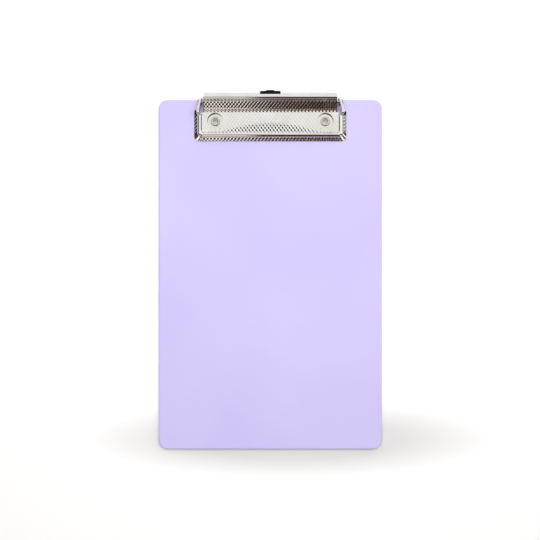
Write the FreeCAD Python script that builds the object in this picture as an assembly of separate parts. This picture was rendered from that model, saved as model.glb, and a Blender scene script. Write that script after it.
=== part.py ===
import FreeCAD, Part
import math
import os

# A memo-size plastic clipboard with a low-profile sprung metal clip and a pull-out plastic hanger.
# Sizes are in millimetres. X runs across the board, Y along it towards the clip, Z out of the writing face.
# The origin is the middle of the board's flat back, which it lies on.

V = FreeCAD.Vector
ALONG_X = V(1, 0, 0)
ALONG_Y = V(0, 1, 0)
ALONG_Z = V(0, 0, 1)
SIDES = (-1, 1)

# The board. Everything on the clip is laid out from its top edge.
BOARD_WIDTH = 150.0
BOARD_LENGTH = 235.0
BOARD_THICKNESS = 2.8
BOARD_CORNER = 6.0
BOARD_EDGE_ROUND = 1.0
TOP = BOARD_LENGTH / 2
DECK = BOARD_THICKNESS

# The clip's pressed metal sheets.
BASE_SHEET = 0.8
LEVER_SHEET = 0.9
BASE_TOP = DECK + BASE_SHEET

# The hinge line, and the running clearance of what turns on the pin.
HINGE_Y = TOP - 2.4
HINGE_Z = 5.9
PIN_RADIUS = 1.0
RUNNING_GAP = 0.05
EAR_BOSS_RADIUS = 2.1

# The lever's pan: square cut edge, sloping rim, rounded shoulder, and a face a little below the shoulder.
RIM_HALF_WIDTH = 51.1
RIM_FRONT = TOP - 28.2
RIM_BACK = TOP - 5.4
RIM_CORNER = 3.4
RIM_FOOT = DECK + 0.05
RIM_EDGE_TOP = RIM_FOOT + 0.55
RIM_SLOPE = math.radians(42)
SHOULDER_TOP = 6.9
SHOULDER_CORNER = 2.4
SHOULDER_ROUND = 3.0
FACE_TOP = 6.5
FACE_HALF_WIDTH = 45.6
FACE_FRONT = TOP - 22.7
FACE_CORNER = 2.4

# The thumb riser behind the face: a hollow curve, a steep straight and a flat press lip.
RISER_FOOT = TOP - 8.6
RISER_RADIUS = 5.0
RISER_ANGLE = 78.0
RISER_STRAIGHT = 3.85
LIP_BEND_RADIUS = 1.6
LIP_FLAT = 2.45
LIP_HALF_WIDTH = 43.7
RISER_HALF_WIDTH = 44.7
EAR_GAP_HALF_WIDTH = 45.9
NOTCH_HALF_WIDTH = 7.4
NOTCH_DEPTH = 1.0

# The lever's ears, which carry the hinge pin outside those of the base plate.
EAR_MIDDLE_X = 46.7
EAR_LEAN = 7.0
EAR_TOE_IN = 7.0
EAR_FRONT_RUN = 8.0
STOP_ANGLE = 27.0
HEEL_RADIUS = 3.4
RELIEF_WIDTH = 0.8

# The riveted base plate, with its ears and the raised channel the hanger slides in.
BASE_HALF_WIDTH = 44.0
BASE_FRONT = TOP - 23.0
BASE_BACK = TOP - 1.2
BASE_CORNER = 3.0
CHANNEL_HALF_WIDTH = 7.0
CHANNEL_MOUTH_HALF_WIDTH = 5.7
CHANNEL_MOUTH_START = TOP - 9.0
CHANNEL_HEIGHT = 1.1

# The two hollow rivets, and the holes in the face that their setting tool passes through.
RIVET_X = 36.8
RIVET_Y = TOP - 15.0
RIVET_BORE_RADIUS = 1.7
RIVET_BARREL_RADIUS = 2.2
RIVET_HOLE_RADIUS = RIVET_BARREL_RADIUS + 0.05
RIVET_FLANGE_RADIUS = 3.1
RIVET_FLANGE = 0.8
RIVET_BACK_GAP = 0.2
COUNTERBORE_RADIUS = 4.0
COUNTERBORE_DEPTH = RIVET_BACK_GAP + RIVET_FLANGE
ACCESS_HOLE_RADIUS = 5.35

# The double torsion spring.
WIRE_RADIUS = 0.5
COIL_RADIUS = 1.6
COIL_TURNS = 4.25
COIL_PITCH = 1.15
COIL_INNER_X = 9.2
FRONT_LEG = 9.0
LOOP_Y = TOP - 1.3
LOOP_Z = 13.75
LOOP_BEND = 1.6

# The hanger: a slotted tongue with a grip outside the board and two wings that stop it pulling out.
HANGER_FLOOR = DECK + 0.05
HANGER_THICKNESS = 1.0
TONGUE_HALF_WIDTH = 5.5
WING_HALF_WIDTH = 6.8
WING_BACK = TOP - 22.8
WING_LENGTH = 1.7
HEAD_HALF_WIDTH = 6.95
HEAD_START = TOP - 0.9
GRIP_START = TOP + 3.3
GRIP_END = TOP + 5.3
GRIP_LOW = 1.6
GRIP_HIGH = 4.6
BUMP_HALF_WIDTH = 3.0
BUMP_OVERHANG = 0.45
BUMP_HIGH = 5.2
SLOT_START = TOP - 9.6
SLOT_END = TOP - 2.0
SLOT_HALF_WIDTH = 2.5


def block(half_width, y_low, y_high, z_low, z_high):
    """Box centred on the board's middle line."""
    return Part.makeBox(2 * half_width, y_high - y_low, z_high - z_low, V(-half_width, y_low, z_low))


def rounded_outline(half_width, y_low, y_high, corner, z):
    """Closed rectangle with quarter-circle corners, level at height z."""
    x_in = half_width - corner
    centres = [(x_in, y_low + corner), (x_in, y_high - corner), (-x_in, y_high - corner), (-x_in, y_low + corner)]
    edges = []
    previous_end = None
    for quarter, (x, y) in enumerate(centres):
        angles = [math.radians(90 * quarter - 90 + step) for step in (0, 45, 90)]
        points = [V(x + corner * math.cos(a), y + corner * math.sin(a), z) for a in angles]
        if previous_end is not None:
            edges.append(Part.makeLine(previous_end, points[0]))
        edges.append(Part.Arc(*points).toShape())
        previous_end = points[2]
    edges.append(Part.makeLine(previous_end, edges[0].firstVertex().Point))
    return Part.Wire(edges)


def rounded_slab(half_width, y_low, y_high, corner, z_low, z_high):
    """Flat plate with rounded corners."""
    outline = rounded_outline(half_width, y_low, y_high, corner, z_low)
    return Part.Face(outline).extrude(V(0, 0, z_high - z_low))


def rod(start, end, radius):
    """Round bar between two points."""
    return Part.makeCylinder(radius, (end - start).Length, start, end - start)


def level_edges(shape, z):
    """Edges of a shape that lie wholly at height z."""
    return [e for e in shape.Edges if abs(e.BoundBox.ZMin - z) < 1e-4 and abs(e.BoundBox.ZMax - z) < 1e-4]


def at_rivets(make):
    """The shape that make(x, y) gives at both rivets, fused."""
    left, right = [make(side * RIVET_X, RIVET_Y) for side in SIDES]
    return left.fuse(right)


def make_board():
    """Plastic board with rounded corners and edges, drilled and counterbored for the rivets."""
    board = rounded_slab(BOARD_WIDTH / 2, -TOP, TOP, BOARD_CORNER, 0, BOARD_THICKNESS)
    rims = level_edges(board, 0) + level_edges(board, BOARD_THICKNESS)
    board = board.makeFillet(BOARD_EDGE_ROUND, rims)
    holes = at_rivets(lambda x, y: Part.makeCylinder(RIVET_HOLE_RADIUS, BOARD_THICKNESS, V(x, y, 0)))
    counterbores = at_rivets(lambda x, y: Part.makeCylinder(COUNTERBORE_RADIUS, COUNTERBORE_DEPTH, V(x, y, 0)))
    return board.cut(holes).cut(counterbores)


def pan_inset(z):
    """How far the rim's slope has come in from its outer edge at height z."""
    return (z - RIM_EDGE_TOP) / math.tan(RIM_SLOPE)


def pan_frustum(z_low, z_high, skin):
    """Solid between two levels inside the rim's slope, a horizontal distance skin in from it."""
    outlines = []
    for z, corner in ((z_low, RIM_CORNER), (z_high, SHOULDER_CORNER)):
        inset = pan_inset(z) + skin
        outlines.append(
            rounded_outline(RIM_HALF_WIDTH - inset, RIM_FRONT + inset, RIM_BACK - inset, corner, z)
        )
    return Part.makeLoft(outlines, True, True)


def make_pan():
    """Pressed pan of the lever, open at the back where the riser takes over."""
    outer = pan_frustum(RIM_EDGE_TOP, SHOULDER_TOP, 0)
    outer = outer.makeFillet(SHOULDER_ROUND, level_edges(outer, SHOULDER_TOP))
    cut_edge = rounded_slab(RIM_HALF_WIDTH, RIM_FRONT, RIM_BACK, RIM_CORNER, RIM_FOOT, RIM_EDGE_TOP)
    recess = rounded_slab(FACE_HALF_WIDTH, FACE_FRONT, TOP, FACE_CORNER, FACE_TOP, SHOULDER_TOP)
    cavity = pan_frustum(RIM_FOOT, SHOULDER_TOP - LEVER_SHEET, LEVER_SHEET / math.sin(RIM_SLOPE))
    under_face = rounded_slab(
        FACE_HALF_WIDTH + LEVER_SHEET / 2,
        FACE_FRONT - LEVER_SHEET / 2,
        TOP,
        FACE_CORNER,
        FACE_TOP - LEVER_SHEET,
        SHOULDER_TOP,
    )
    pan = outer.fuse(cut_edge).removeSplitter().cut(recess).cut(cavity.cut(under_face))
    return pan.cut(block(EAR_GAP_HALF_WIDTH, RISER_FOOT, TOP, 0, 2 * SHOULDER_TOP))


def bent_face_edges(start_y, start_z, runs, depth):
    """Edges, in the middle plane, of a bent sheet's face that lies depth under its upper face.

    Each run is (straight length, bend radius, bend degrees). A positive bend turns upwards.
    """
    y, z, heading = start_y, start_z, 0.0
    edges = []

    def point(centre_y, centre_z, reach, angle):
        return V(0, centre_y - reach * math.sin(angle), centre_z + reach * math.cos(angle))

    for length, radius, turn in runs:
        ahead_y = y + length * math.cos(heading)
        ahead_z = z + length * math.sin(heading)
        edges.append(Part.makeLine(point(y, z, -depth, heading), point(ahead_y, ahead_z, -depth, heading)))
        y, z = ahead_y, ahead_z
        if turn:
            side = math.copysign(1, turn)
            centre = point(y, z, side * radius, heading)
            angles = [heading + math.radians(turn) * share for share in (0, 0.5, 1)]
            reach = -side * (radius + side * depth)
            edges.append(Part.Arc(*[point(centre.y, centre.z, reach, a) for a in angles]).toShape())
            heading = angles[2]
            end = point(centre.y, centre.z, -side * radius, heading)
            y, z = end.y, end.z
    return edges


def make_riser():
    """Thumb riser and press lip, one bent strip that narrows a little towards the lip."""
    overlap = 3.0
    runs = [
        (overlap, RISER_RADIUS, RISER_ANGLE),
        (RISER_STRAIGHT, LIP_BEND_RADIUS, -RISER_ANGLE),
        (LIP_FLAT, 0, 0),
    ]
    upper = bent_face_edges(RISER_FOOT - overlap, FACE_TOP, runs, 0)
    lower = bent_face_edges(RISER_FOOT - overlap, FACE_TOP, runs, LEVER_SHEET)
    caps = [
        Part.makeLine(upper[0].firstVertex().Point, lower[0].firstVertex().Point),
        Part.makeLine(upper[-1].lastVertex().Point, lower[-1].lastVertex().Point),
    ]
    section = Part.Wire(Part.__sortEdges__(upper + lower + caps))
    strip = Part.Face(section).extrude(V(2 * RISER_HALF_WIDTH, 0, 0))
    strip.translate(V(-RISER_HALF_WIDTH, 0, 0))
    lip_end = strip.BoundBox.YMax
    corners = [
        V(-RISER_HALF_WIDTH, RISER_FOOT - overlap, 0),
        V(-RISER_HALF_WIDTH, RISER_FOOT, 0),
        V(-LIP_HALF_WIDTH, lip_end, 0),
        V(LIP_HALF_WIDTH, lip_end, 0),
        V(RISER_HALF_WIDTH, RISER_FOOT, 0),
        V(RISER_HALF_WIDTH, RISER_FOOT - overlap, 0),
    ]
    plan = Part.Face(Part.makePolygon(corners + corners[:1])).extrude(V(0, 0, 2 * BOARD_CORNER + LOOP_Z))
    notch = block(NOTCH_HALF_WIDTH, lip_end - NOTCH_DEPTH, lip_end + 1, 0, 2 * LOOP_Z)
    return strip.common(plan).cut(notch)


def make_lever_ear(side):
    """Upright ear at one end of the lever. Its heel meets the board when the clip is wide open."""
    drop = HINGE_Z - DECK
    heel = math.asin(drop / HEEL_RADIUS) - math.radians(STOP_ANGLE)
    outline = [
        (-EAR_FRONT_RUN, SHOULDER_TOP - HINGE_Z - 0.2),
        (-EAR_FRONT_RUN, -0.6),
        (-2.6, 0.4 - drop),
        (HEEL_RADIUS * math.cos(heel), -HEEL_RADIUS * math.sin(heel)),
        (2.3, 3.6),
        (-1.4, 4.4),
    ]
    points = [V(EAR_MIDDLE_X - LEVER_SHEET / 2, HINGE_Y + y, HINGE_Z + z) for y, z in outline]
    ear = Part.Face(Part.makePolygon(points + points[:1])).extrude(V(LEVER_SHEET, 0, 0))
    tops = [e for e in ear.Edges if e.BoundBox.XLength > LEVER_SHEET / 2 and e.BoundBox.ZMin > HINGE_Z + 3]
    ear = ear.makeFillet(1.2, tops)
    pivot = V(EAR_MIDDLE_X, HINGE_Y, HINGE_Z)
    ear.rotate(pivot, ALONG_Y, EAR_LEAN)
    ear.rotate(pivot, ALONG_Z, EAR_TOE_IN)
    return ear if side > 0 else ear.mirror(V(0, 0, 0), ALONG_X)


def make_lever():
    """The whole lever: pan, riser and ears as one pressing, pierced for the pin and the rivets' tool."""
    ears = [make_lever_ear(side) for side in SIDES]
    lever = make_pan().fuse([make_riser()] + ears).removeSplitter()
    reliefs = []
    for side in SIDES:
        relief = Part.makeBox(2.8, RELIEF_WIDTH, 3, V(0, HINGE_Y - EAR_FRONT_RUN - RELIEF_WIDTH, FACE_TOP - 2))
        relief.translate(V(FACE_HALF_WIDTH if side > 0 else -FACE_HALF_WIDTH - 2.8, 0, 0))
        reliefs.append(relief)
    pin_holes = rod(
        V(-RIM_HALF_WIDTH, HINGE_Y, HINGE_Z), V(RIM_HALF_WIDTH, HINGE_Y, HINGE_Z), PIN_RADIUS + RUNNING_GAP
    )
    access = at_rivets(lambda x, y: Part.makeCylinder(ACCESS_HOLE_RADIUS, SHOULDER_TOP, V(x, y, DECK)))
    return lever.cut(reliefs + [pin_holes, access])


def make_base_ear(side):
    """Upright ear of the base plate with a rounded top round the pin."""
    x_low = BASE_HALF_WIDTH - BASE_SHEET if side > 0 else -BASE_HALF_WIDTH
    boss = Part.makeCylinder(EAR_BOSS_RADIUS, BASE_SHEET, V(x_low, HINGE_Y, HINGE_Z), ALONG_X)
    y_low = HINGE_Y - EAR_BOSS_RADIUS
    stem = Part.makeBox(BASE_SHEET, BASE_BACK - y_low, HINGE_Z - DECK, V(x_low, y_low, DECK))
    return boss.fuse(stem)


def make_base_plate():
    """Riveted base plate: flat strip, two ears, and the raised channel for the hanger."""
    plate = rounded_slab(BASE_HALF_WIDTH, BASE_FRONT, BASE_BACK, BASE_CORNER, DECK, BASE_TOP)
    squared_back = block(BASE_HALF_WIDTH, BASE_BACK - 2 * BASE_CORNER, BASE_BACK, DECK, BASE_TOP)
    roof = DECK + CHANNEL_HEIGHT
    tunnels = []
    covers = []
    for half_width, y_low, y_high in (
        (CHANNEL_HALF_WIDTH, BASE_FRONT, CHANNEL_MOUTH_START),
        (CHANNEL_MOUTH_HALF_WIDTH, CHANNEL_MOUTH_START, BASE_BACK),
    ):
        tunnels.append(block(half_width, y_low, y_high, DECK, roof))
        cover = block(half_width + BASE_SHEET, y_low, y_high, DECK, roof + BASE_SHEET)
        crests = [e for e in level_edges(cover, roof + BASE_SHEET) if e.BoundBox.XLength < 0.01]
        covers.append(cover.makeFillet(BASE_SHEET / 2, crests))
    ears = [make_base_ear(side) for side in SIDES]
    plate = plate.fuse([squared_back] + covers + ears).removeSplitter()
    pin_hole = rod(V(-BASE_HALF_WIDTH, HINGE_Y, HINGE_Z), V(BASE_HALF_WIDTH, HINGE_Y, HINGE_Z), PIN_RADIUS + 0.02)
    rivet_holes = at_rivets(lambda x, y: Part.makeCylinder(RIVET_HOLE_RADIUS, BASE_SHEET, V(x, y, DECK)))
    return plate.cut(tunnels + [pin_hole, rivet_holes])


def make_pin():
    """Steel hinge pin with a flat domed head at each end."""
    head_start = EAR_MIDDLE_X + LEVER_SHEET + 0.1
    pin = rod(V(-head_start, HINGE_Y, HINGE_Z), V(head_start, HINGE_Y, HINGE_Z), PIN_RADIUS)
    heads = []
    for side in SIDES:
        start = V(side * head_start, HINGE_Y, HINGE_Z)
        head = rod(start, start + V(side * 0.8, 0, 0), 1.7)
        rims = [e for e in head.Edges if abs(abs(e.CenterOfMass.x) - head_start - 0.8) < 0.01]
        heads.append(head.makeFillet(0.5, rims))
    return pin.fuse(heads)


def make_rivet(side):
    """Hollow rivet: a rolled flange on the base plate and another in the board's counterbore."""
    foot = RIVET_BACK_GAP
    height = BASE_TOP + RIVET_FLANGE - foot
    section = [
        (RIVET_BORE_RADIUS, foot),
        (RIVET_FLANGE_RADIUS, foot),
        (RIVET_FLANGE_RADIUS, foot + RIVET_FLANGE),
        (RIVET_BARREL_RADIUS, foot + RIVET_FLANGE),
        (RIVET_BARREL_RADIUS, BASE_TOP),
        (RIVET_FLANGE_RADIUS, BASE_TOP),
        (RIVET_FLANGE_RADIUS, foot + height),
        (RIVET_BORE_RADIUS, foot + height),
    ]
    points = [V(r, 0, z) for r, z in section]
    rivet = Part.Face(Part.makePolygon(points + points[:1])).revolve(V(0, 0, 0), ALONG_Z, 360)
    ends = level_edges(rivet, foot) + level_edges(rivet, foot + height)
    rivet = rivet.makeFillet(RIVET_FLANGE / 2.2, ends)
    rivet.translate(V(side * RIVET_X, RIVET_Y, 0))
    return rivet


def make_spring():
    """Double torsion spring: two coils on the pin, legs on the base plate and a loop under the lip."""
    coil_length = COIL_PITCH * COIL_TURNS
    coil = Part.makeHelix(COIL_PITCH, coil_length, COIL_RADIUS, 0, True)
    coil.Placement = FreeCAD.Placement(
        V(COIL_INNER_X, HINGE_Y, HINGE_Z), FreeCAD.Rotation(ALONG_Y, ALONG_Z, ALONG_X, "ZXY")
    )
    leg_x = COIL_INNER_X + coil_length
    leg_tip = V(leg_x, HINGE_Y - FRONT_LEG, BASE_TOP + WIRE_RADIUS + 0.02)
    leg_root = V(leg_x, HINGE_Y, HINGE_Z - COIL_RADIUS)
    loop_root = V(COIL_INNER_X, HINGE_Y + COIL_RADIUS, HINGE_Z)
    bend_start = V(COIL_INNER_X, LOOP_Y, LOOP_Z - LOOP_BEND)
    bend_end = V(COIL_INNER_X - LOOP_BEND, LOOP_Y, LOOP_Z)
    diagonal = LOOP_BEND * (1 - math.sqrt(0.5))
    bend_middle = V(COIL_INNER_X - diagonal, LOOP_Y, LOOP_Z - diagonal)
    half = [
        Part.makeLine(leg_tip, leg_root),
        coil.Edges[0],
        Part.makeLine(loop_root, bend_start),
        Part.Arc(bend_start, bend_middle, bend_end).toShape(),
    ]
    other_half = [edge.mirror(V(0, 0, 0), ALONG_X) for edge in half]
    crossbar = Part.makeLine(bend_end, V(-bend_end.x, bend_end.y, bend_end.z))
    path = Part.Wire(Part.__sortEdges__(half + [crossbar] + other_half))
    circle = Part.Wire(Part.makeCircle(WIRE_RADIUS, leg_tip, leg_root - leg_tip))
    return path.makePipeShell([circle], True, True)


def make_hanger():
    """Pull-out hanger: winged tongue with a hanging slot, and a ribbed grip past the board's edge."""
    top = HANGER_FLOOR + HANGER_THICKNESS
    tongue = block(TONGUE_HALF_WIDTH, WING_BACK, HEAD_START + 1, HANGER_FLOOR, top)
    wings = block(WING_HALF_WIDTH, WING_BACK, WING_BACK + WING_LENGTH, HANGER_FLOOR, top)
    head = block(HEAD_HALF_WIDTH, HEAD_START, GRIP_END, HANGER_FLOOR, top)
    grip = rounded_slab(HEAD_HALF_WIDTH, GRIP_START, GRIP_END, 0.9, GRIP_LOW, GRIP_HIGH)
    bump = rounded_slab(
        BUMP_HALF_WIDTH, GRIP_START - BUMP_OVERHANG, GRIP_END + BUMP_OVERHANG, 1.0, GRIP_LOW, BUMP_HIGH
    )
    head_corners = [e for e in head.Edges if e.BoundBox.ZLength > HANGER_THICKNESS / 2 and e.BoundBox.YMin > TOP]
    head = head.makeFillet(0.9, head_corners)
    slot = rounded_slab(SLOT_HALF_WIDTH, SLOT_START, SLOT_END, SLOT_HALF_WIDTH - 0.01, 0, GRIP_HIGH)
    return tongue.fuse([wings, head, grip, bump]).removeSplitter().cut(slot)


def main():
    pieces = {
        "board": make_board(),
        "clip_base_plate": make_base_plate(),
        "clip_lever": make_lever(),
        "hinge_pin": make_pin(),
        "torsion_spring": make_spring(),
        "rivet_left": make_rivet(-1),
        "rivet_right": make_rivet(1),
        "hanger": make_hanger(),
    }
    os.makedirs("parts", exist_ok=True)
    for name, shape in pieces.items():
        shape.exportStep(f"parts/{name}.step")
        box = shape.BoundBox
        sizes = f"{box.XLength:.2f} x {box.YLength:.2f} x {box.ZLength:.2f}"
        print(f"{name}: {sizes} mm, solids {len(shape.Solids)}, valid {shape.isValid()}, volume {shape.Volume:.1f}")


main()
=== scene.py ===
import math

import bmesh
import bpy
import numpy as np
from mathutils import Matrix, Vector


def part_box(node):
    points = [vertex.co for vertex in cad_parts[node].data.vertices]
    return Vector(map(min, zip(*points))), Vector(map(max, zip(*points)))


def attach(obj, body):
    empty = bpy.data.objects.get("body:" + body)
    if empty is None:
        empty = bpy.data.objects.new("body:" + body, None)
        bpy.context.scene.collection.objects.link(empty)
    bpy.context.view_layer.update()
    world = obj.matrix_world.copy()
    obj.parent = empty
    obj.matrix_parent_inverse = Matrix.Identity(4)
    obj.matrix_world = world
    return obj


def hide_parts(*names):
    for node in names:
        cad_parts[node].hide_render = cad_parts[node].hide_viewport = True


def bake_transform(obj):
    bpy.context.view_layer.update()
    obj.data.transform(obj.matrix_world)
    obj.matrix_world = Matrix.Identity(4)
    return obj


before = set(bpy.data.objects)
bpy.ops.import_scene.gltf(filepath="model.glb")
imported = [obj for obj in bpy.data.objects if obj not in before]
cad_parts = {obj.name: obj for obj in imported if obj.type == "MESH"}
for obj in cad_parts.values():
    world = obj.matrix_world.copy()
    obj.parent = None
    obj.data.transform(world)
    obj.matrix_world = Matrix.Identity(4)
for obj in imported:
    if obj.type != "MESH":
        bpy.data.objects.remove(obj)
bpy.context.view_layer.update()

# Looks for the clipboard. Lengths are in millimetres until a mesh is handed to Blender in metres.
# The frame is the CAD's: X across the board, Y towards the clip, Z out of the writing face.

MM = 0.001


def cad_box(node):
    """Lowest and highest corners of a CAD node in millimetres, to a hundredth."""
    return [tuple(round(value / MM, 2) for value in corner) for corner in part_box(node)]


def cad_middle(node):
    """Middle of a CAD node's box in millimetres."""
    low, high = cad_box(node)
    return tuple((start + end) / 2 for start, end in zip(low, high))


# Board
_, TOP, DECK = cad_box("board")[1]

# Pan of the lever: the outline is the CAD lever's, and insets are measured in plan from it
SHEET = 0.9
LEVER_LOW_CORNER = cad_box("clip_lever")[0]
RIM_HALF_WIDTH = -LEVER_LOW_CORNER[0]
RIM_FRONT = LEVER_LOW_CORNER[1]
RIM_FOOT = LEVER_LOW_CORNER[2]
RIM_BACK = TOP - 5.4
RIM_CORNER = 3.4
RIM_EDGE_LINE = ((0.0, RIM_FOOT), (0.01, RIM_FOOT + 0.3), (0.03, RIM_FOOT + 0.47), (0.1, RIM_FOOT + 0.61))
RIM_SLOPE = math.radians(38)
RIM_WIDTH = 2.3
BEAD_SLOPE = math.radians(62)
BEAD_FOOT_RADIUS = 0.5
BEAD_RADIUS = 1.95
BEAD_CROWN_INSET = 4.2
SHOULDER_CORNER = 2.4
FACE_TOP = 5.9
STEP_START = 4.8
STEP_END = 5.4
STEP_SHARES = (0.0, 0.08, 0.3, 0.5, 0.7, 0.92, 1.0)
FACE_START = STEP_END + 0.06

# Riser and lip of the lever
RISER_FOOT = TOP - 9.4
RISER_RADIUS = 4.0
RISER_ANGLE = math.radians(44)
RISER_STRAIGHT = 4.9
RISER_HALF_WIDTH = 44.7
NECK_ANGLE = math.radians(75)
NECK_RADIUS = 1.5
NECK_STRAIGHT = 1.6
LIP_BEND_RADIUS = 1.6
LIP_FLAT = 2.45
LIP_DROOP = math.radians(-4)
LIP_HALF_WIDTH = 43.7
NOTCH_HALF_WIDTH = 7.4
NOTCH_BLEND = 0.2
NOTCH_DEPTH = 1.0
EAR_GAP_HALF_WIDTH = 45.9

# Openings in the lever: round ones over the rivets, and one where each ear is folded up
RIVET_X, RIVET_Y, _ = cad_middle("rivet_right")
ACCESS_HOLE_RADIUS = 5.35
EAR_OPENING_FRONT = TOP - 11.2
EAR_OPENING_HALF_WIDTHS = (45.6, 48.4)

# Rivets
RIVET_BORE_RADIUS = 1.7
RIVET_BARREL_RADIUS = 2.2
RIVET_FLANGE_RADIUS = 3.1
RIVET_FLANGE = 0.8
RIVET_UNDERCUT = 0.1
RIVET_SEGMENTS = 72
RIVET_ROLL_POINTS = 15

# Ears. Their lines are (distance along Y, height) from the hinge, and the flange's are (distance, width)
_, HINGE_Y, HINGE_Z = cad_middle("hinge_pin")
EAR_MIDDLE_X = 46.3
EAR_TOE_IN = 0.25
EAR_STRAIGHT_FROM = -5.0
EAR_TOP_LINE = (
    (-9.6, 0.2), (-8.9, 0.5), (-8.5, 2.9), (-7.9, 3.5), (-7.2, 3.6),
    (1.2, 3.6), (2.0, 3.3), (2.5, 2.6), (2.65, 1.9),
)
EAR_FOOT_LINE = (
    (-9.6, -0.5), (-6.0, -0.6), (-2.6, -2.7), (0.6, -2.7), (1.8, -2.3), (2.4, -1.9), (2.65, -1.5),
)
EAR_FLANGE_WIDTH = ((-9.6, 1.3), (-8.0, 1.9), (-5.0, 1.9), (2.65, 1.2))
EAR_FLANGE_ROUNDING = 0.35
EAR_ROUNDING_POINTS = 5
EAR_SPACING = 0.2

# Spring: its coils reach up to here, and the yoke between them goes from foot to top
COIL_TOP = 8.05
YOKE_FOOT = 9.4
YOKE_HEIGHT = 2.25

# Pressed texture: rows of small pads, each row half a pitch on from the next, as on a fine mesh
PAD_PITCH_X = 2.33
PAD_PITCH_Y = 3.2
PAD_HEIGHT = 0.12
PAD_SHARPNESS = 0.998
PAD_SQUARENESS = 8.0
SIDE_RIM_PAD_DEPTH = 0.45
RISER_PAD_DEPTH = 0.7

# The face's pads get deeper across a wide arch, by this share per millimetre, up to this far either side
PAD_ARCH_CENTRE_Y = 12.7
PAD_ARCH_RADIUS = 88.3
PAD_DEEPENING = 0.08
PAD_DEEPEST_BEYOND = 3.2

# Where the pads rise or fade, in millimetres, and at the corners in corner radii from their middle
RIM_PADS_RISE = (0.1, 0.4)
CORNER_PADS_RISE = (0.9, 1.6)
HOLE_PADS_RISE = (0.2, 0.9)
PAD_FADE = 0.4
EAR_OPENING_FADE_X = (EAR_OPENING_HALF_WIDTHS[0] - 1.2, EAR_OPENING_HALF_WIDTHS[0] - 0.5)
EAR_OPENING_FADE_Y = (EAR_OPENING_FRONT - 0.8, EAR_OPENING_FRONT - 0.2)
RISER_PADS_EASE = (1.0, 3.0)
NECK_PADS_FADE = (-0.4, 0.2)

# Mesh spacing on the lever. Arcs of no more than the tight radius are cut at fixed turns, in radians
CELL = 0.18
THINNEST_CELL = 0.035
PAD_EDGE_LINES = (-0.15, -0.06, 0.06, 0.15)
FIRST_CREST_FROM = 0.05
TIGHT_RADIUS = 1.0
TIGHT_TURN = 0.15
HOLE_SNAP = 0.75 * CELL
HOLE_SPACING = 1.3 * CELL
WELD = 0.004
TOLERANCE = 1e-6
NO_LENGTH = 1e-12

# Edges broken on every pressing, at corners steeper than the pads' walls
BROKEN_EDGE = 0.1
BROKEN_EDGE_ANGLE = math.radians(85)

# Colours of the materials, from one end of their variation to the other
NICKEL_COLOURS = ((0.78, 0.76, 0.72), (0.86, 0.845, 0.81))
WIRE_COLOURS = ((0.30, 0.30, 0.32), (0.42, 0.42, 0.44))
PIN_COLOURS = ((0.45, 0.45, 0.46), (0.60, 0.60, 0.61))
BOARD_COLOURS = ((0.545, 0.487, 0.82), (0.585, 0.528, 0.84))
HANGER_COLOURS = ((0.002, 0.002, 0.002), (0.006, 0.006, 0.007))
# The floor's own pale grey, then the darker grey of a painted shadow under the board's lower end
FLOOR_AND_SHADOW_COLOURS = ((0.93, 0.93, 0.93), (0.68, 0.68, 0.68))

# The part of a noise's or gradient's values that the variation is spread over
NOISE_SPAN = (0.3, 0.7)
CLOUD_SPAN = (0.35, 0.65)
# Span of the gradient over which the floor's painted shadow fades into the floor's own colour
SHADOW_PATCH_SPAN = (0.0, 0.5)

# Floor, in metres. The painted shadow patch's scale is one over its half lengths, and its shift is in those
# units
FLOOR_SIZE = 6
FLOOR_DROP = 0.0002
SHADOW_PATCH_SCALE = (7.0, 36.0, 1.0)
SHADOW_PATCH_SHIFT = (-0.1, 4.0, 0)

# Colours of the surroundings
WORLD_TOP = (0.95, 0.93, 0.89)
WORLD_BACK = (0.92, 0.98, 1.05)
WORLD_SIDES = (1.2, 1.19, 1.17)
WORLD_LEFT_LOW = (0.06, 0.055, 0.06)
WORLD_HORIZON = (0.03, 0.022, 0.018)
WORLD_FRONT_HIGH = (0.115, 0.058, 0.038)
WORLD_FRONT_LOW = (0.010, 0.008, 0.008)
WORLD_STRIP_HIGH = (0.55, 0.53, 0.48)
WORLD_STRIP_LOW = (1.0, 0.96, 0.92)
WORLD_DISC = (0.022, 0.015, 0.011)
BACKDROP = (1.0, 1.0, 1.0)

# Where the surroundings change from one colour to the next, as parts of a unit direction
OVERHEAD_Z = (0.75, 0.90)
HORIZON_Z = (0.27, 0.21)
LEFT_LOW_X = (-0.66, -0.72)
BACK_Y = (0.24, 0.34)
FRONT_Y = (-0.14, -0.20)
FRONT_LOW_Y = (-0.90, -0.94)
STRIP_RIGHT_X = (-0.01, -0.04)
STRIP_LEFT_X = (-0.16, -0.20)
STRIP_LOW_Y = (-0.62, -0.72)
CORNER_PATCHES = ((-0.63, -0.63), (0.63, -0.63))
CORNER_PATCH_RADIUS = 0.22
DISC_MIDDLE = (0.0, -0.267)
DISC_RADIUS = 0.194
DISC_SOFTNESS = 0.015

# Camera, in metres
CAMERA_PLACE = (-0.0002, 0.003, 0.45)
VIEW_WIDTH = 0.36266
SENSOR_WIDTH = 36


# ---------------------------------------------------------------- geometry helpers


def smooth_step(low, high, value):
    """0 below low, 1 above high and a smooth rise between, on numbers or arrays."""
    share = np.clip((value - low) / (high - low), 0.0, 1.0)
    return share * share * (3 - 2 * share)


def spaced(start, end, step=CELL):
    """Evenly spaced values from start to end, about step apart, both ends included."""
    return np.linspace(start, end, max(2, int(round(abs(end - start) / step)) + 1))


def path_lengths(points):
    """Distance along a line of points from its first one to each."""
    return np.concatenate([[0], np.cumsum(np.hypot(*np.diff(points, axis=0).T))])


def mesh_object(name, points, faces, material):
    """Smooth-shaded mesh object from points in millimetres."""
    mesh = bpy.data.meshes.new(name)
    mesh.from_pydata((np.asarray(points) * MM).tolist(), [], faces)
    mesh.materials.append(material)
    obj = bpy.data.objects.new(name, mesh)
    bpy.context.scene.collection.objects.link(obj)
    mesh.shade_smooth()
    return obj


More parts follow.
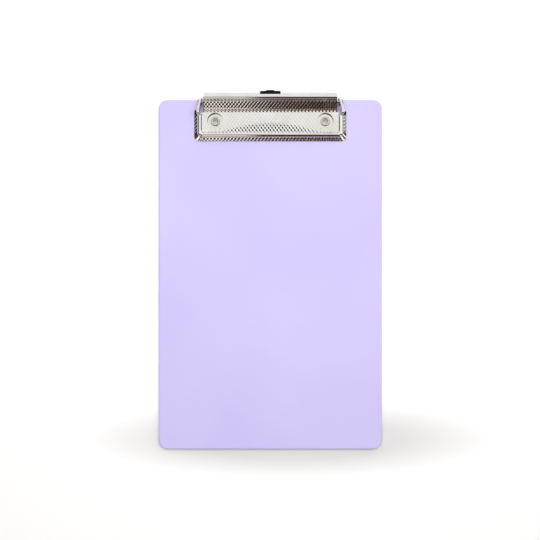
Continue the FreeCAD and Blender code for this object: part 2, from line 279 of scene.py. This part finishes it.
def bands(sections, closed):
    """Faces between equal outlines, one after the other. A closed run also joins the last to the first."""
    count = len(sections[0])
    faces = []
    for row in range(len(sections) if closed else len(sections) - 1):
        here = row * count
        following = (row + 1) % len(sections) * count
        for corner in range(count):
            after = (corner + 1) % count
            faces.append([here + corner, here + after, following + after, following + corner])
    return faces


def edit_mesh(obj, change):
    """Runs a change on an object's mesh as a bmesh."""
    shell = bmesh.new()
    shell.from_mesh(obj.data)
    change(shell)
    shell.to_mesh(obj.data)
    shell.free()


def weld(shell):
    """Joins points that meet, and deletes those that no face uses."""
    bmesh.ops.remove_doubles(shell, verts=shell.verts, dist=WELD * MM)
    loose = [vertex for vertex in shell.verts if not vertex.link_faces]
    bmesh.ops.delete(shell, geom=loose, context="VERTS")


def face_outwards(shell):
    """Turns every face of a closed mesh outwards."""
    bmesh.ops.recalc_face_normals(shell, faces=shell.faces)


def soften_edges(obj):
    """Breaks a pressing's sharp edges, as tumbling before plating does."""
    edges = obj.modifiers.new("edges", "BEVEL")
    edges.width = BROKEN_EDGE * MM
    edges.segments = 2
    edges.limit_method = "ANGLE"
    edges.angle_limit = BROKEN_EDGE_ANGLE


# ---------------------------------------------------------------- lever


def arc_points(start, angle_from, angle_to, radius):
    """Points along an arc that leaves start at slope angle_from and ends at slope angle_to."""
    turn = CELL / (2 * radius) if radius > TIGHT_RADIUS else TIGHT_TURN
    sign = 1 if angle_to > angle_from else -1
    points = []
    for angle in spaced(angle_from, angle_to, turn)[1:]:
        across = sign * radius * (math.sin(angle) - math.sin(angle_from))
        up = sign * radius * (math.cos(angle_from) - math.cos(angle))
        points.append((start[0] + across, start[1] + up))
    return points


def line_points(start, angle, distances):
    """Points at distances from start along a straight run of a profile."""
    return [(start[0] + away * math.cos(angle), start[1] + away * math.sin(angle)) for away in distances]


def grid_lines(lines, *others):
    """Sorted grid positions: all the lines, and the others that leave no sliver beside one already there."""
    kept = list(lines)
    for value in np.concatenate(others):
        if min(abs(value - place) for place in kept) > THINNEST_CELL:
            kept.append(value)
    return np.array(sorted(kept))


def pad_lines(low, high, pitch, first_edge):
    """Grid positions between low and high for crisp pads: close pairs at each edge and one line between."""
    edges = first_edge + np.arange(-2 * high // pitch, 2 * high // pitch + 2) * pitch / 2
    places = (edges[:, None] + np.array((*PAD_EDGE_LINES, pitch / 4))).ravel()
    return places[(places > low) & (places < high)]


def rim_profile():
    """(inset, height) of the pan's upper skin: cut edge, textured rim, smooth bead, step to the face."""
    points = list(RIM_EDGE_LINE)
    run = path_lengths(points)[-1]
    length = (RIM_WIDTH - points[-1][0]) / math.cos(RIM_SLOPE)
    crests = pad_lines(run + FIRST_CREST_FROM, run + length, PAD_PITCH_Y, 0)
    places = grid_lines((run + length,), crests, spaced(run, run + length)[1:])
    points += line_points(points[-1], RIM_SLOPE, places - run)
    points += arc_points(points[-1], RIM_SLOPE, BEAD_SLOPE, BEAD_FOOT_RADIUS)
    crown_start = BEAD_CROWN_INSET - BEAD_RADIUS * math.sin(BEAD_SLOPE)
    flank = (crown_start - points[-1][0]) / math.cos(BEAD_SLOPE)
    points += line_points(points[-1], BEAD_SLOPE, spaced(0, flank)[1:])
    points += arc_points(points[-1], BEAD_SLOPE, 0, BEAD_RADIUS)
    top = points[-1][1]
    for share in STEP_SHARES:
        points.append((STEP_START + share * (STEP_END - STEP_START), top - share * (top - FACE_TOP)))
    points.append((FACE_START, FACE_TOP))
    return np.array(points)


PROFILE = rim_profile()
PROFILE_RUN = path_lengths(PROFILE)


def skin_height(inset):
    """Height of the pan's skin at a plan inset from its edge."""
    return np.interp(inset, PROFILE[:, 0], PROFILE[:, 1])


def skin_run(inset):
    """Distance along the sheet from its cut edge to a plan inset. The face carries on flat."""
    run = np.interp(inset, PROFILE[:, 0], PROFILE_RUN)
    return run + np.maximum(inset - FACE_START, 0)


def corner_radius(inset):
    """Plan corner radius of the ring at an inset. It shrinks to a square corner inside the face."""
    rim = RIM_CORNER - (RIM_CORNER - SHOULDER_CORNER) * np.clip(inset / BEAD_CROWN_INSET, 0, 1)
    return np.maximum(rim - np.maximum(inset - STEP_START, 0), TOLERANCE)


def ring_place(inset_x, inset_y):
    """Where a grid node lies once square rings of insets are turned into rounded ones.

    Returns its insets from the side and from the front or back, and how far it is from the corner's middle.
    """
    ring = np.minimum(inset_x, inset_y)
    radius = corner_radius(ring)
    away = np.abs(inset_x - inset_y)
    turn = (math.pi / 4) * (1 - np.clip(away / radius, 0, 1))
    near = ring + radius * (1 - np.cos(turn))
    far = ring + radius * (1 - np.sin(turn))
    on_side = inset_x <= inset_y
    in_corner = away < radius
    place_x = np.where(in_corner, np.where(on_side, near, far), inset_x)
    place_y = np.where(in_corner, np.where(on_side, far, near), inset_y)
    return place_x, place_y, away / radius


def roofs(along, across):
    """Rows of small roofs that slope along one direction and alternate across it. Phases in radians."""
    row = np.tanh(PAD_SQUARENESS * np.cos(across)) / math.tanh(PAD_SQUARENESS)
    return row * np.arcsin(PAD_SHARPNESS * np.cos(along)) / (math.pi / 2)


def pad_pattern(uphill, sideways):
    """Height of the pressed texture, -1 to 1. Pads slope along uphill, and their rows run sideways."""
    return roofs(2 * math.pi * uphill / PAD_PITCH_Y, 2 * math.pi * sideways / PAD_PITCH_X)


def pressed_depth(x, y):
    """How deep the face's pads are: deeper inside the wide arch than beyond it."""
    inside = PAD_ARCH_RADIUS - np.hypot(x, y - PAD_ARCH_CENTRE_Y)
    return 1 + PAD_DEEPENING * np.clip(inside, -PAD_DEEPEST_BEYOND, PAD_DEEPEST_BEYOND)


def surface_normals(grid):
    """Unit normals of a (rows, columns, 3) grid of points."""
    along_rows = np.gradient(grid, axis=0)
    along_columns = np.gradient(grid, axis=1)
    normals = np.cross(along_columns, along_rows)
    lengths = np.linalg.norm(normals, axis=2, keepdims=True)
    return normals / np.maximum(lengths, NO_LENGTH)


def around_hole(centre):
    """Even grid lines that keep an access hole's edge round."""
    reach = ACCESS_HOLE_RADIUS + CELL
    return spaced(centre - reach, centre + reach, HOLE_SPACING)


def face_columns():
    """Signed plan X of the grid's columns, denser where the rim is steep."""
    fixed = (0.0, *EAR_OPENING_HALF_WIDTHS, EAR_GAP_HALF_WIDTH, RISER_HALF_WIDTH)
    rim = RIM_HALF_WIDTH - PROFILE[:, 0]
    crests = pad_lines(0, rim[-1], PAD_PITCH_X, PAD_PITCH_X / 4)
    half = grid_lines(fixed, rim, crests, around_hole(RIVET_X))
    return np.concatenate([-half[:0:-1], half])


def face_rows():
    """Insets from the front edge of the grid's rows, up to the riser's foot."""
    length = RISER_FOOT - RIM_FRONT
    face_run = PROFILE_RUN[-1]
    crests = pad_lines(face_run, length + face_run, PAD_PITCH_Y, 0) + FACE_START - face_run
    side_rows = pad_lines(RIM_FRONT + RIM_CORNER, RISER_FOOT, PAD_PITCH_X, PAD_PITCH_X / 4) - RIM_FRONT
    even = np.concatenate([spaced(FACE_START, length, 2 * CELL), around_hole(RIVET_Y) - RIM_FRONT])
    rows = grid_lines((length, EAR_OPENING_FRONT - RIM_FRONT), PROFILE[:, 0], crests, side_rows, even)
    return rows[rows <= length]


def pan_pads(x, y, ring, corner_share, on_side_rim):
    """How strongly the pan is textured: not on the bead, in the corners or beside an opening."""
    rim = smooth_step(*RIM_PADS_RISE, ring) * (1 - smooth_step(RIM_WIDTH, RIM_WIDTH + PAD_FADE, ring))
    rim = rim * smooth_step(*CORNER_PADS_RISE, corner_share) * np.where(on_side_rim, SIDE_RIM_PAD_DEPTH, 1)
    from_hole = np.hypot(np.abs(x) - RIVET_X, y - RIVET_Y) - ACCESS_HOLE_RADIUS
    face = smooth_step(STEP_END, STEP_END + PAD_FADE, ring) * smooth_step(*HOLE_PADS_RISE, from_hole)
    by_opening = smooth_step(*EAR_OPENING_FADE_X, np.abs(x)) * smooth_step(*EAR_OPENING_FADE_Y, y)
    return rim + face * (1 - by_opening) * pressed_depth(x, y)


def pan_grid(columns, insets_y, from_back):
    """Grid of the pan's skin for columns at plan X and rows at an inset from the front or back edge.

    Returns its points, their places in the texture, uphill and sideways, and how deep the texture is.
    """
    side = np.sign(columns)[None, :]
    inset_x = RIM_HALF_WIDTH - np.abs(columns)[None, :]
    inset_y = np.asarray(insets_y)[:, None]
    length = RIM_BACK - RIM_FRONT
    back_inset = inset_y if from_back else length - inset_y
    front_inset = length - back_inset
    on_rim = inset_x <= RIM_HALF_WIDTH - EAR_GAP_HALF_WIDTH + TOLERANCE
    nearest_y = np.where(on_rim, np.minimum(front_inset, back_inset), front_inset)
    place_x, place_y, corner_share = np.broadcast_arrays(*ring_place(inset_x, nearest_y))
    at_back = on_rim & (back_inset < front_inset)
    x = side * (RIM_HALF_WIDTH - place_x)
    y = np.where(at_back, RIM_BACK - place_y, RIM_FRONT + place_y)
    ring = np.minimum(inset_x, nearest_y)
    sheet_half = RIM_HALF_WIDTH - FACE_START + PROFILE_RUN[-1]
    on_side_rim = inset_x < np.minimum(nearest_y, STEP_END)
    uphill = np.where(on_side_rim, skin_run(inset_x), skin_run(front_inset))
    sideways = np.where(on_side_rim, y, side * (sheet_half - skin_run(inset_x)))
    depth = pan_pads(x, y, ring, corner_share, on_side_rim)
    return np.stack([x, y, skin_height(ring)], axis=2), uphill, sideways, depth


def riser_profile():
    """(y, z) of the riser's and lip's upper skin, the distance along it, and how deep its texture is."""
    points = [(RISER_FOOT, FACE_TOP)]
    points += arc_points(points[-1], 0, RISER_ANGLE, RISER_RADIUS)
    points += line_points(points[-1], RISER_ANGLE, spaced(0, RISER_STRAIGHT)[1:])
    neck = len(points)
    points += arc_points(points[-1], RISER_ANGLE, NECK_ANGLE, NECK_RADIUS)
    points += line_points(points[-1], NECK_ANGLE, spaced(0, NECK_STRAIGHT)[1:])
    points += arc_points(points[-1], NECK_ANGLE, LIP_DROOP, LIP_BEND_RADIUS)
    points += line_points(points[-1], LIP_DROOP, spaced(0, LIP_FLAT)[1:])
    points = np.array(points)
    run = path_lengths(points)
    easing = 1 - (1 - RISER_PAD_DEPTH) * smooth_step(*RISER_PADS_EASE, run)
    fade_start, fade_end = (run[neck] + place for place in NECK_PADS_FADE)
    return points, run, easing * (1 - smooth_step(fade_start, fade_end, run))


def riser_grid(columns):
    """Grid of the riser and lip for the columns of the face that run into it, as pan_grid gives it."""
    profile, run, pads = riser_profile()
    share = run / run[-1]
    narrowing = 1 + (LIP_HALF_WIDTH / RISER_HALF_WIDTH - 1) * share
    x = columns[None, :] * narrowing[:, None]
    lip_start = profile[-1, 0] - LIP_FLAT
    on_lip = np.clip((profile[:, 0] - lip_start) / LIP_FLAT, 0, 1)
    notch_edge = (NOTCH_HALF_WIDTH - NOTCH_BLEND, NOTCH_HALF_WIDTH + NOTCH_BLEND)
    notch = NOTCH_DEPTH * (1 - smooth_step(*notch_edge, np.abs(x)))
    y = profile[:, 0][:, None] - on_lip[:, None] * notch
    z = np.broadcast_to(profile[:, 1][:, None], x.shape)
    uphill = np.broadcast_to((skin_run(RISER_FOOT - RIM_FRONT) + run)[:, None], x.shape)
    sideways = np.broadcast_to(columns[None, :], x.shape)
    depth = np.broadcast_to(pads[:, None], x.shape)
    return np.stack([x, y, z], axis=2), uphill, sideways, depth


def grid_mesh(grid, uphill, sideways, depth):
    """(points, quads) of a grid with its texture pressed in along the normals."""
    height = depth * PAD_HEIGHT * pad_pattern(uphill, sideways)
    points = grid + surface_normals(grid) * height[:, :, None]
    rows, columns = grid.shape[:2]
    index = np.arange(rows * columns).reshape(rows, columns)
    quads = np.stack([index[:-1, :-1], index[:-1, 1:], index[1:, 1:], index[1:, :-1]], axis=2)
    return points.reshape(-1, 3), quads.reshape(-1, 4)


def punch_hole(points, quads, centre_x):
    """Opens a round access hole. Corners close to its edge move onto it, so that it is a clean circle."""
    offset = points[:, :2] - (centre_x, RIVET_Y)
    distance = np.linalg.norm(offset, axis=1)
    on_edge = np.abs(distance - ACCESS_HOLE_RADIUS) < HOLE_SNAP
    scale = ACCESS_HOLE_RADIUS / distance[on_edge]
    points[on_edge, :2] = (centre_x, RIVET_Y) + offset[on_edge] * scale[:, None]
    inside = (distance < ACCESS_HOLE_RADIUS) & ~on_edge
    return quads[~inside[quads].any(axis=1) & ~on_edge[quads].all(axis=1)]


def open_for_ears(points, quads):
    """Opens the pan where the ears are folded up out of it. Grid lines already run along the edges."""
    middle = points[quads].mean(axis=1)
    across = np.abs(middle[:, 0])
    opened = (across > EAR_OPENING_HALF_WIDTHS[0]) & (across < EAR_OPENING_HALF_WIDTHS[1])
    return quads[~(opened & (middle[:, 1] > EAR_OPENING_FRONT))]


def lever_skin():
    """(points, quads) of the lever's whole upper skin, with its holes."""
    columns = face_columns()
    back_edge = RIM_BACK - RISER_FOOT
    back_rings = PROFILE[PROFILE[:, 0] < back_edge - THINNEST_CELL, 0]
    back_insets = np.concatenate([[back_edge], back_rings[::-1]])
    grids = [pan_grid(columns, face_rows(), False)]
    grids.append(riser_grid(columns[np.abs(columns) <= RISER_HALF_WIDTH + TOLERANCE]))
    for side in (-1, 1):
        grids.append(pan_grid(columns[side * columns >= EAR_GAP_HALF_WIDTH - TOLERANCE], back_insets, True))
    all_points, all_quads, count = [], [], 0
    for grid in grids:
        points, quads = grid_mesh(*grid)
        all_points.append(points)
        all_quads.append(quads + count)
        count += len(points)
    points, quads = np.concatenate(all_points), np.concatenate(all_quads)
    for side in (-1, 1):
        quads = punch_hole(points, quads, side * RIVET_X)
    return points, open_for_ears(points, quads)


def make_lever_sheet(material):
    """The lever's pressing as a sheet of even thickness."""
    points, quads = lever_skin()
    lever = mesh_object("lever_pressing", points, quads.tolist(), material)
    edit_mesh(lever, weld)
    thickness = lever.modifiers.new("sheet", "SOLIDIFY")
    thickness.thickness = SHEET * MM
    thickness.offset = -1
    soften_edges(lever)
    return lever


def flange_rounding(corner, top, first_turn, last_turn):
    """Rounded corner of an ear's folded flange, between two angles in half turns."""
    points = []
    for angle in np.linspace(first_turn * math.pi, last_turn * math.pi, EAR_ROUNDING_POINTS):
        across = corner + EAR_FLANGE_ROUNDING * math.cos(angle)
        points.append((across, top - EAR_FLANGE_ROUNDING * (1 - math.sin(angle))))
    return points


def ear_section(side, along):
    """Closed outline across an ear at a place along Y from the hinge: a plate with its top folded outward."""
    half = SHEET / 2
    top = HINGE_Z + np.interp(along, *zip(*EAR_TOP_LINE))
    foot = HINGE_Z + np.interp(along, *zip(*EAR_FOOT_LINE))
    fold = min(SHEET, (top - foot) / 2)
    outer = np.interp(along, *zip(*EAR_FLANGE_WIDTH)) - half
    middle = EAR_MIDDLE_X - EAR_TOE_IN * max(along, EAR_STRAIGHT_FROM)
    outline = [(-half, foot), (half, foot), (half, top - fold), (outer, top - fold)]
    outline += flange_rounding(outer - EAR_FLANGE_ROUNDING, top, 0, 0.5)
    outline += flange_rounding(EAR_FLANGE_ROUNDING - half, top, 0.5, 1)
    return [(side * (middle + across), HINGE_Y + along, z) for across, z in outline]


def make_lever_ear(side, material):
    """Upright ear that carries one end of the hinge pin."""
    places = spaced(EAR_TOP_LINE[0][0], EAR_TOP_LINE[-1][0], EAR_SPACING)
    sections = [ear_section(side, along) for along in places]
    points = [point for section in sections for point in section]
    count = len(sections[0])
    ends = [list(range(count)), list(range(len(points) - count, len(points)))]
    name = "lever_ear_right" if side > 0 else "lever_ear_left"
    ear = mesh_object(name, points, ends + bands(sections, False), material)
    edit_mesh(ear, face_outwards)
    soften_edges(ear)
    return ear


# ---------------------------------------------------------------- spring and rivets


def make_spring(cad_spring, material):
    """The CAD spring's wire, with its yoke lowered to lie under this lever's lip."""
    spring = bpy.data.objects.new("spring_wire", cad_spring.data.copy())
    bpy.context.scene.collection.objects.link(spring)
    spring.data.materials.clear()
    spring.data.materials.append(material)
    cad_top = max(vertex.co.z for vertex in spring.data.vertices) / MM
    cad_heights = (COIL_TOP, cad_top - YOKE_HEIGHT, cad_top)
    heights = (COIL_TOP, YOKE_FOOT, YOKE_FOOT + YOKE_HEIGHT)
    for vertex in spring.data.vertices:
        if vertex.co.z > COIL_TOP * MM:
            vertex.co.z = float(np.interp(vertex.co.z / MM, cad_heights, heights)) * MM
    return spring


def rivet_outline(foot, top):
    """Closed (radius, height) outline of a hollow rivet's wall: a barrel with a rolled flange at each end."""
    roll = (RIVET_FLANGE_RADIUS - RIVET_BORE_RADIUS) / 2
    middle = RIVET_BORE_RADIUS + roll
    turns = np.linspace(0, math.pi, RIVET_ROLL_POINTS)
    upper = [(middle - roll * math.cos(turn), top - roll + roll * math.sin(turn)) for turn in turns]
    upper.append((RIVET_FLANGE_RADIUS - RIVET_UNDERCUT, top - RIVET_FLANGE))
    upper.append((RIVET_BARREL_RADIUS, top - RIVET_FLANGE))
    lower = [(radius, foot + top - height) for radius, height in reversed(upper)]
    return upper + lower


def make_rivet(node, material):
    """Hollow rivet turned about its own axis, where its CAD node stands."""
    low, high = (Vector(corner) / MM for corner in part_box(node))
    centre = (low + high) / 2
    outline = rivet_outline(low.z, high.z)
    sections = []
    for step in range(RIVET_SEGMENTS):
        turn = 2 * math.pi * step / RIVET_SEGMENTS
        across, along = math.cos(turn), math.sin(turn)
        sections.append([(centre.x + r * across, centre.y + r * along, z) for r, z in outline])
    points = [point for section in sections for point in section]
    rivet = mesh_object("rolled_" + node, points, bands(sections, True), material)
    soften_edges(rivet)
    return rivet


# ---------------------------------------------------------------- materials


def new_material(name):
    """(material, nodes, links, shader) of a new material with a plain principled shader."""
    material = bpy.data.materials.new(name)
    material.use_nodes = True
    nodes = material.node_tree.nodes
    return material, nodes, material.node_tree.links, nodes["Principled BSDF"]


def noise(nodes, links, scale, detail, stretch=(1, 1, 1)):
    """Noise over the object's own coordinates, per metre, optionally stretched."""
    coordinates = nodes.new("ShaderNodeTexCoord")
    mapping = nodes.new("ShaderNodeMapping")
    mapping.inputs["Scale"].default_value = stretch
    links.new(coordinates.outputs["Object"], mapping.inputs["Vector"])
    texture = nodes.new("ShaderNodeTexNoise")
    texture.inputs["Scale"].default_value = scale
    texture.inputs["Detail"].default_value = detail
    links.new(mapping.outputs["Vector"], texture.inputs["Vector"])
    return texture.outputs["Fac"]


def value_range(nodes, links, source, span, values):
    """Maps the span of source evenly onto values, both (low, high), and returns the node."""
    node = nodes.new("ShaderNodeMapRange")
    node.inputs["From Min"].default_value = span[0]
    node.inputs["From Max"].default_value = span[1]
    node.inputs["To Min"].default_value = values[0]
    node.inputs["To Max"].default_value = values[1]
    links.new(source, node.inputs["Value"])
    return node


def tint(nodes, links, shader, source, span, colours):
    """Colours a shader from the first to the second of two colours over the span of source."""
    node = nodes.new("ShaderNodeValToRGB")
    for element, place, colour in zip(node.color_ramp.elements, span, colours):
        element.position = place
        element.color = (*colour, 1)
    links.new(source, node.inputs["Fac"])
    links.new(node.outputs["Color"], shader.inputs["Base Color"])


def polish(nodes, links, shader, source, roughness):
    """Gives a shader an uneven roughness, (low, high), over a noise."""
    node = value_range(nodes, links, source, NOISE_SPAN, roughness)
    links.new(node.outputs["Result"], shader.inputs["Roughness"])


def add_bump(nodes, links, shader, source, strength, distance):
    """Fine surface relief on a shader, its depth in metres."""
    bump = nodes.new("ShaderNodeBump")
    bump.inputs["Strength"].default_value = strength
    bump.inputs["Distance"].default_value = distance
    links.new(source, bump.inputs["Height"])
    links.new(bump.outputs["Normal"], shader.inputs["Normal"])


def metal_material(name, colours, roughness, grain):
    """Polished metal with faint tarnish, uneven polish and a fine grain, which may be stretched."""
    material, nodes, links, shader = new_material(name)
    shader.inputs["Metallic"].default_value = 1.0
    tint(nodes, links, shader, noise(nodes, links, scale=90, detail=5.0), NOISE_SPAN, colours)
    polish(nodes, links, shader, noise(nodes, links, scale=260, detail=3.0), roughness)
    lines = noise(nodes, links, scale=900, detail=2.0, stretch=grain)
    add_bump(nodes, links, shader, lines, strength=0.12, distance=0.00003)
    return material


def board_material():
    """Lavender plastic: cloudy tint, satin finish and a very fine moulded grain."""
    material, nodes, links, shader = new_material("lavender_plastic")
    cloud = noise(nodes, links, scale=11, detail=3.0)
    tint(nodes, links, shader, cloud, CLOUD_SPAN, BOARD_COLOURS)
    polish(nodes, links, shader, noise(nodes, links, scale=45, detail=4.0), roughness=(0.32, 0.42))
    grain = noise(nodes, links, scale=1500, detail=2.0)
    add_bump(nodes, links, shader, grain, strength=0.08, distance=0.00004)
    return material


def hanger_material():
    """Black satin plastic with a fine spark-eroded grain."""
    material, nodes, links, shader = new_material("black_plastic")
    mottle = noise(nodes, links, scale=300, detail=3.0)
    tint(nodes, links, shader, mottle, NOISE_SPAN, HANGER_COLOURS)
    polish(nodes, links, shader, mottle, roughness=(0.38, 0.5))
    shader.inputs["Specular IOR Level"].default_value = 0.08
    grain = noise(nodes, links, scale=2500, detail=2.0)
    add_bump(nodes, links, shader, grain, strength=0.25, distance=0.00006)
    return material


# ---------------------------------------------------------------- stage


def floor_material():
    """Pale table top with a painted shadow: one wide, very soft grey patch under the board's lower end."""
    material, nodes, links, shader = new_material("pale_floor")
    coordinates = nodes.new("ShaderNodeTexCoord")
    mapping = nodes.new("ShaderNodeMapping")
    mapping.inputs["Location"].default_value = SHADOW_PATCH_SHIFT
    mapping.inputs["Scale"].default_value = SHADOW_PATCH_SCALE
    links.new(coordinates.outputs["Object"], mapping.inputs["Vector"])
    # Painted shadow: a soft spherical gradient that darkens the floor's colour to grey
    painted_shadow = nodes.new("ShaderNodeTexGradient")
    painted_shadow.gradient_type = "SPHERICAL"
    links.new(mapping.outputs["Vector"], painted_shadow.inputs["Vector"])
    tint(nodes, links, shader, painted_shadow.outputs["Fac"], SHADOW_PATCH_SPAN, FLOOR_AND_SHADOW_COLOURS)
    shader.inputs["Roughness"].default_value = 0.9
    shader.inputs["Specular IOR Level"].default_value = 0.1
    return material


def make_floor():
    """Large plain floor just under the board."""
    bpy.ops.mesh.primitive_plane_add(size=FLOOR_SIZE, location=(0, 0, -FLOOR_DROP))
    floor = bpy.context.object
    floor.name = "floor"
    floor.data.materials.append(floor_material())


def smooth_change(nodes, links, source, start, end):
    """0 on the start side and 1 on the end side of a source value, whichever of the two is larger."""
    rising = start < end
    span = (start, end) if rising else (end, start)
    node = value_range(nodes, links, source, span, (0, 1) if rising else (1, 0))
    node.interpolation_type = "SMOOTHSTEP"
    return node.outputs["Result"]


def near(nodes, links, direction, x, y, radius):
    """1 close to a direction of the upper half of the surroundings, 0 beyond radius from it."""
    offset = nodes.new("ShaderNodeVectorMath")
    offset.operation = "DISTANCE"
    offset.inputs[1].default_value = (x, y, math.sqrt(1 - x * x - y * y))
    links.new(direction, offset.inputs[0])
    outer, inner = radius * (1 + DISC_SOFTNESS), radius * (1 - DISC_SOFTNESS)
    return smooth_change(nodes, links, offset.outputs["Value"], outer, inner)


def mix(nodes, links, factor, first, second):
    """Mix of two colours, each a tuple or another node's output."""
    node = nodes.new("ShaderNodeMix")
    node.data_type = "RGBA"
    links.new(factor, node.inputs["Factor"])
    for socket, colour in ((node.inputs["A"], first), (node.inputs["B"], second)):
        if isinstance(colour, tuple):
            socket.default_value = (*colour, 1)
        else:
            links.new(colour, socket)
    return node.outputs["Result"]


def make_world():
    """Soft studio surroundings: bright overhead and to the right, dark on the left and at the horizon.

    In front they are dark but for one strip and two corner patches. Reflections and diffuse light come from
    them, and the camera itself sees a plain white backdrop.
    """
    world = bpy.data.worlds.new("studio")
    bpy.context.scene.world = world
    world.use_nodes = True
    nodes, links = world.node_tree.nodes, world.node_tree.links
    direction = nodes.new("ShaderNodeTexCoord").outputs["Generated"]
    split = nodes.new("ShaderNodeSeparateXYZ")
    links.new(direction, split.inputs["Vector"])

    def change(axis, places, before, after):
        """One colour before a pair of places along an axis of the direction, and another after."""
        return mix(nodes, links, smooth_change(nodes, links, split.outputs[axis], *places), before, after)

    def disc(middle, radius, around, colour):
        """A disc of colour about a direction."""
        return mix(nodes, links, near(nodes, links, direction, *middle, radius), around, colour)

    sides = change("X", LEFT_LOW_X, WORLD_SIDES, WORLD_LEFT_LOW)
    top = change("Y", BACK_Y, WORLD_TOP, WORLD_BACK)
    sky = change("Z", OVERHEAD_Z, sides, top)
    front = change("Y", FRONT_LOW_Y, WORLD_FRONT_HIGH, WORLD_FRONT_LOW)
    strip = change("Y", STRIP_LOW_Y, WORLD_STRIP_HIGH, WORLD_STRIP_LOW)
    front = change("X", STRIP_RIGHT_X, front, change("X", STRIP_LEFT_X, strip, front))
    studio = change("Y", FRONT_Y, sky, front)
    for corner in CORNER_PATCHES:
        studio = disc(corner, CORNER_PATCH_RADIUS, studio, WORLD_SIDES)
    studio = disc(DISC_MIDDLE, DISC_RADIUS, studio, WORLD_DISC)
    studio = change("Z", HORIZON_Z, studio, WORLD_HORIZON)
    to_camera = nodes.new("ShaderNodeLightPath").outputs["Is Camera Ray"]
    links.new(mix(nodes, links, to_camera, studio, BACKDROP), nodes["Background"].inputs["Color"])


def make_light(name, location, size, power):
    """Square soft box aimed at the board. It lights surfaces but leaves no reflection of itself."""
    data = bpy.data.lights.new(name, "AREA")
    data.size = size
    data.energy = power
    light = bpy.data.objects.new(name, data)
    light.location = location
    light.rotation_euler = (-light.location).to_track_quat("-Z", "Y").to_euler()
    light.visible_glossy = False
    bpy.context.scene.collection.objects.link(light)


def make_camera():
    """Straight down over the board, as wide as the view at the board's face."""
    data = bpy.data.cameras.new("camera")
    camera = bpy.data.objects.new("camera", data)
    bpy.context.scene.collection.objects.link(camera)
    camera.location = CAMERA_PLACE
    data.sensor_width = SENSOR_WIDTH
    data.lens = SENSOR_WIDTH * (CAMERA_PLACE[2] - DECK * MM) / VIEW_WIDTH
    bpy.context.scene.camera = camera


# ---------------------------------------------------------------- assembly

nickel = metal_material("nickel_plate", NICKEL_COLOURS, roughness=(0.03, 0.07), grain=(1, 0.04, 1))
wire_steel = metal_material("spring_wire", WIRE_COLOURS, roughness=(0.25, 0.38), grain=(0.1, 1, 1))
pin_steel = metal_material("pin_steel", PIN_COLOURS, roughness=(0.18, 0.30), grain=(1, 1, 1))

CAD_MATERIALS = {
    "board": board_material(),
    "clip_base_plate": nickel,
    "hinge_pin": pin_steel,
    "hanger": hanger_material(),
}
for node, material in CAD_MATERIALS.items():
    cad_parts[node].data.materials.clear()
    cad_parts[node].data.materials.append(material)

lever_pieces = [make_lever_sheet(nickel)] + [make_lever_ear(side, nickel) for side in (-1, 1)]
for piece in lever_pieces:
    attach(piece, "lever")
    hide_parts("clip_lever")

for node in ("rivet_left", "rivet_right"):
    rivet = make_rivet(node, nickel)
    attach(rivet, "base")
    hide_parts(node)

spring = make_spring(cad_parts["torsion_spring"], wire_steel)
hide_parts("torsion_spring")
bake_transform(spring)

make_floor()
make_world()
make_light("key", location=(0.05, 0.15, 0.6), size=0.5, power=2.25)
make_light("fill", location=(-0.2, -0.1, 1.2), size=0.9, power=1.5)
make_camera()
bpy.context.scene.view_settings.view_transform = "Standard"
